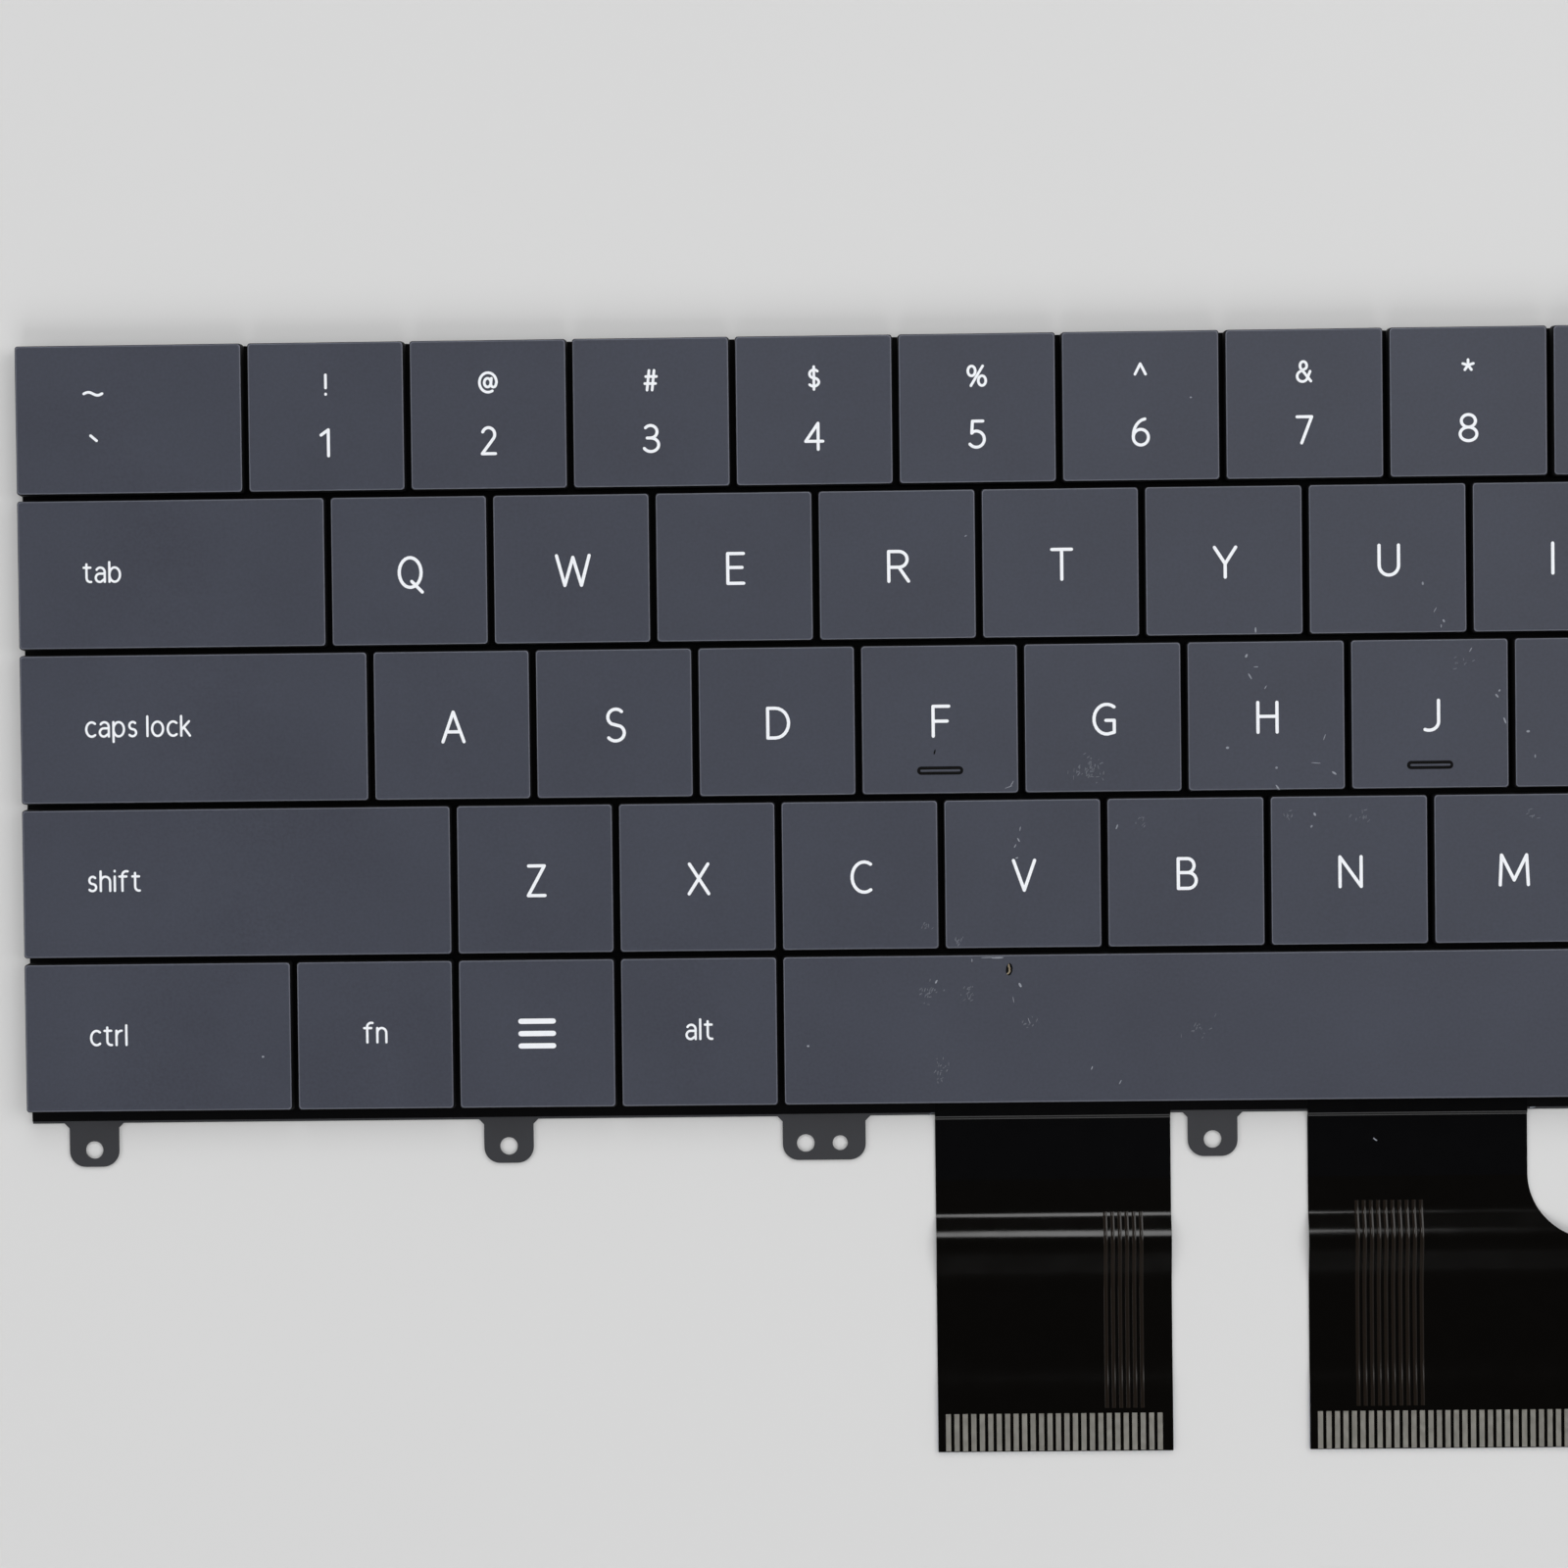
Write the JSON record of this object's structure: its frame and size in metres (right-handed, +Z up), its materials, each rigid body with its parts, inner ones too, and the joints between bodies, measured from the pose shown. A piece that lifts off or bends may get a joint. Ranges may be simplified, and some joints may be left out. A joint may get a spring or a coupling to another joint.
{
  "type": "laptop replacement keyboard",
  "caption": "Low-profile laptop keyboard module: edge-to-edge sprung keycaps on crossed links over a stamped plate with screw ears, and two flat flexible tails.",
  "frame": {"origin": "underside of the base plate, below the middle of the key field", "axes": "+X along the rows to the right, +Y away from the user, +Z up out of the key tops"},
  "size_m": [0.2852, 0.1318, 0.0033],
  "materials": {
    "keycap": "fine matt, dark slate grey",
    "plate": "satin, dark coated sheet",
    "membrane": "matt black film",
    "dome": "matt, milky",
    "link": "moulded, black",
    "bar": "drawn wire",
    "tail": "glossy black flexible circuit",
    "stiffener": "matt blue film"
  },
  "bodies": {
    "base": {"base_plate": "plate", "switch_membrane": "membrane", "rubber_domes": "dome", "outer_links": "link", "inner_links": "link", "balance_bars": "bar", "left_tail": "tail", "right_tail": "tail", "tail_stiffeners": "stiffener", "right_end_keycaps": "keycap"},
    "cap_grave": {"key_grave": "keycap"},
    "cap_1": {"key_1": "keycap"},
    "cap_2": {"key_2": "keycap"},
    "cap_3": {"key_3": "keycap"},
    "cap_4": {"key_4": "keycap"},
    "cap_5": {"key_5": "keycap"},
    "cap_6": {"key_6": "keycap"},
    "cap_7": {"key_7": "keycap"},
    "cap_8": {"key_8": "keycap"},
    "cap_9": {"key_9": "keycap"},
    "cap_0": {"key_0": "keycap"},
    "cap_tab": {"key_tab": "keycap"},
    "cap_q": {"key_q": "keycap"},
    "cap_w": {"key_w": "keycap"},
    "cap_e": {"key_e": "keycap"},
    "cap_r": {"key_r": "keycap"},
    "cap_t": {"key_t": "keycap"},
    "cap_y": {"key_y": "keycap"},
    "cap_u": {"key_u": "keycap"},
    "cap_i": {"key_i": "keycap"},
    "cap_o": {"key_o": "keycap"},
    "cap_p": {"key_p": "keycap"},
    "cap_caps_lock": {"key_caps_lock": "keycap"},
    "cap_a": {"key_a": "keycap"},
    "cap_s": {"key_s": "keycap"},
    "cap_d": {"key_d": "keycap"},
    "cap_f": {"key_f": "keycap"},
    "cap_g": {"key_g": "keycap"},
    "cap_h": {"key_h": "keycap"},
    "cap_j": {"key_j": "keycap"},
    "cap_k": {"key_k": "keycap"},
    "cap_l": {"key_l": "keycap"},
    "cap_semicolon": {"key_semicolon": "keycap"},
    "cap_left_shift": {"key_left_shift": "keycap"},
    "cap_z": {"key_z": "keycap"},
    "cap_x": {"key_x": "keycap"},
    "cap_c": {"key_c": "keycap"},
    "cap_v": {"key_v": "keycap"},
    "cap_b": {"key_b": "keycap"},
    "cap_n": {"key_n": "keycap"},
    "cap_m": {"key_m": "keycap"},
    "cap_comma": {"key_comma": "keycap"},
    "cap_period": {"key_period": "keycap"},
    "cap_left_ctrl": {"key_left_ctrl": "keycap"},
    "cap_fn": {"key_fn": "keycap"},
    "cap_menu": {"key_menu": "keycap"},
    "cap_left_alt": {"key_left_alt": "keycap"},
    "cap_space": {"key_space": "keycap"},
    "cap_right_alt": {"key_right_alt": "keycap"},
    "cap_right_ctrl": {"key_right_ctrl": "keycap"}
  },
  "joints": [
    {"name": "grave_press", "type": "slide", "parent": "base", "child": "cap_grave", "axis": [0, 0, -1], "range_m": [0, 0.001], "stiffness_N_per_m": 600},
    {"name": "1_press", "type": "slide", "parent": "base", "child": "cap_1", "axis": [0, 0, -1], "range_m": [0, 0.001], "stiffness_N_per_m": 600},
    {"name": "2_press", "type": "slide", "parent": "base", "child": "cap_2", "axis": [0, 0, -1], "range_m": [0, 0.001], "stiffness_N_per_m": 600},
    {"name": "3_press", "type": "slide", "parent": "base", "child": "cap_3", "axis": [0, 0, -1], "range_m": [0, 0.001], "stiffness_N_per_m": 600},
    {"name": "4_press", "type": "slide", "parent": "base", "child": "cap_4", "axis": [0, 0, -1], "range_m": [0, 0.001], "stiffness_N_per_m": 600},
    {"name": "5_press", "type": "slide", "parent": "base", "child": "cap_5", "axis": [0, 0, -1], "range_m": [0, 0.001], "stiffness_N_per_m": 600},
    {"name": "6_press", "type": "slide", "parent": "base", "child": "cap_6", "axis": [0, 0, -1], "range_m": [0, 0.001], "stiffness_N_per_m": 600},
    {"name": "7_press", "type": "slide", "parent": "base", "child": "cap_7", "axis": [0, 0, -1], "range_m": [0, 0.001], "stiffness_N_per_m": 600},
    {"name": "8_press", "type": "slide", "parent": "base", "child": "cap_8", "axis": [0, 0, -1], "range_m": [0, 0.001], "stiffness_N_per_m": 600},
    {"name": "9_press", "type": "slide", "parent": "base", "child": "cap_9", "axis": [0, 0, -1], "range_m": [0, 0.001], "stiffness_N_per_m": 600},
    {"name": "0_press", "type": "slide", "parent": "base", "child": "cap_0", "axis": [0, 0, -1], "range_m": [0, 0.001], "stiffness_N_per_m": 600},
    {"name": "tab_press", "type": "slide", "parent": "base", "child": "cap_tab", "axis": [0, 0, -1], "range_m": [0, 0.001], "stiffness_N_per_m": 600},
    {"name": "q_press", "type": "slide", "parent": "base", "child": "cap_q", "axis": [0, 0, -1], "range_m": [0, 0.001], "stiffness_N_per_m": 600},
    {"name": "w_press", "type": "slide", "parent": "base", "child": "cap_w", "axis": [0, 0, -1], "range_m": [0, 0.001], "stiffness_N_per_m": 600},
    {"name": "e_press", "type": "slide", "parent": "base", "child": "cap_e", "axis": [0, 0, -1], "range_m": [0, 0.001], "stiffness_N_per_m": 600},
    {"name": "r_press", "type": "slide", "parent": "base", "child": "cap_r", "axis": [0, 0, -1], "range_m": [0, 0.001], "stiffness_N_per_m": 600},
    {"name": "t_press", "type": "slide", "parent": "base", "child": "cap_t", "axis": [0, 0, -1], "range_m": [0, 0.001], "stiffness_N_per_m": 600},
    {"name": "y_press", "type": "slide", "parent": "base", "child": "cap_y", "axis": [0, 0, -1], "range_m": [0, 0.001], "stiffness_N_per_m": 600},
    {"name": "u_press", "type": "slide", "parent": "base", "child": "cap_u", "axis": [0, 0, -1], "range_m": [0, 0.001], "stiffness_N_per_m": 600},
    {"name": "i_press", "type": "slide", "parent": "base", "child": "cap_i", "axis": [0, 0, -1], "range_m": [0, 0.001], "stiffness_N_per_m": 600},
    {"name": "o_press", "type": "slide", "parent": "base", "child": "cap_o", "axis": [0, 0, -1], "range_m": [0, 0.001], "stiffness_N_per_m": 600},
    {"name": "p_press", "type": "slide", "parent": "base", "child": "cap_p", "axis": [0, 0, -1], "range_m": [0, 0.001], "stiffness_N_per_m": 600},
    {"name": "caps_lock_press", "type": "slide", "parent": "base", "child": "cap_caps_lock", "axis": [0, 0, -1], "range_m": [0, 0.001], "stiffness_N_per_m": 600},
    {"name": "a_press", "type": "slide", "parent": "base", "child": "cap_a", "axis": [0, 0, -1], "range_m": [0, 0.001], "stiffness_N_per_m": 600},
    {"name": "s_press", "type": "slide", "parent": "base", "child": "cap_s", "axis": [0, 0, -1], "range_m": [0, 0.001], "stiffness_N_per_m": 600},
    {"name": "d_press", "type": "slide", "parent": "base", "child": "cap_d", "axis": [0, 0, -1], "range_m": [0, 0.001], "stiffness_N_per_m": 600},
    {"name": "f_press", "type": "slide", "parent": "base", "child": "cap_f", "axis": [0, 0, -1], "range_m": [0, 0.001], "stiffness_N_per_m": 600},
    {"name": "g_press", "type": "slide", "parent": "base", "child": "cap_g", "axis": [0, 0, -1], "range_m": [0, 0.001], "stiffness_N_per_m": 600},
    {"name": "h_press", "type": "slide", "parent": "base", "child": "cap_h", "axis": [0, 0, -1], "range_m": [0, 0.001], "stiffness_N_per_m": 600},
    {"name": "j_press", "type": "slide", "parent": "base", "child": "cap_j", "axis": [0, 0, -1], "range_m": [0, 0.001], "stiffness_N_per_m": 600},
    {"name": "k_press", "type": "slide", "parent": "base", "child": "cap_k", "axis": [0, 0, -1], "range_m": [0, 0.001], "stiffness_N_per_m": 600},
    {"name": "l_press", "type": "slide", "parent": "base", "child": "cap_l", "axis": [0, 0, -1], "range_m": [0, 0.001], "stiffness_N_per_m": 600},
    {"name": "semicolon_press", "type": "slide", "parent": "base", "child": "cap_semicolon", "axis": [0, 0, -1], "range_m": [0, 0.001], "stiffness_N_per_m": 600},
    {"name": "left_shift_press", "type": "slide", "parent": "base", "child": "cap_left_shift", "axis": [0, 0, -1], "range_m": [0, 0.001], "stiffness_N_per_m": 600},
    {"name": "z_press", "type": "slide", "parent": "base", "child": "cap_z", "axis": [0, 0, -1], "range_m": [0, 0.001], "stiffness_N_per_m": 600},
    {"name": "x_press", "type": "slide", "parent": "base", "child": "cap_x", "axis": [0, 0, -1], "range_m": [0, 0.001], "stiffness_N_per_m": 600},
    {"name": "c_press", "type": "slide", "parent": "base", "child": "cap_c", "axis": [0, 0, -1], "range_m": [0, 0.001], "stiffness_N_per_m": 600},
    {"name": "v_press", "type": "slide", "parent": "base", "child": "cap_v", "axis": [0, 0, -1], "range_m": [0, 0.001], "stiffness_N_per_m": 600},
    {"name": "b_press", "type": "slide", "parent": "base", "child": "cap_b", "axis": [0, 0, -1], "range_m": [0, 0.001], "stiffness_N_per_m": 600},
    {"name": "n_press", "type": "slide", "parent": "base", "child": "cap_n", "axis": [0, 0, -1], "range_m": [0, 0.001], "stiffness_N_per_m": 600},
    {"name": "m_press", "type": "slide", "parent": "base", "child": "cap_m", "axis": [0, 0, -1], "range_m": [0, 0.001], "stiffness_N_per_m": 600},
    {"name": "comma_press", "type": "slide", "parent": "base", "child": "cap_comma", "axis": [0, 0, -1], "range_m": [0, 0.001], "stiffness_N_per_m": 600},
    {"name": "period_press", "type": "slide", "parent": "base", "child": "cap_period", "axis": [0, 0, -1], "range_m": [0, 0.001], "stiffness_N_per_m": 600},
    {"name": "left_ctrl_press", "type": "slide", "parent": "base", "child": "cap_left_ctrl", "axis": [0, 0, -1], "range_m": [0, 0.001], "stiffness_N_per_m": 600},
    {"name": "fn_press", "type": "slide", "parent": "base", "child": "cap_fn", "axis": [0, 0, -1], "range_m": [0, 0.001], "stiffness_N_per_m": 600},
    {"name": "menu_press", "type": "slide", "parent": "base", "child": "cap_menu", "axis": [0, 0, -1], "range_m": [0, 0.001], "stiffness_N_per_m": 600},
    {"name": "left_alt_press", "type": "slide", "parent": "base", "child": "cap_left_alt", "axis": [0, 0, -1], "range_m": [0, 0.001], "stiffness_N_per_m": 600},
    {"name": "space_press", "type": "slide", "parent": "base", "child": "cap_space", "axis": [0, 0, -1], "range_m": [0, 0.001], "stiffness_N_per_m": 600, "deforming": ["rubber_domes", "outer_links", "inner_links", "balance_bars"]},
    {"name": "right_alt_press", "type": "slide", "parent": "base", "child": "cap_right_alt", "axis": [0, 0, -1], "range_m": [0, 0.001], "stiffness_N_per_m": 600},
    {"name": "right_ctrl_press", "type": "slide", "parent": "base", "child": "cap_right_ctrl", "axis": [0, 0, -1], "range_m": [0, 0.001], "stiffness_N_per_m": 600}
  ]
}
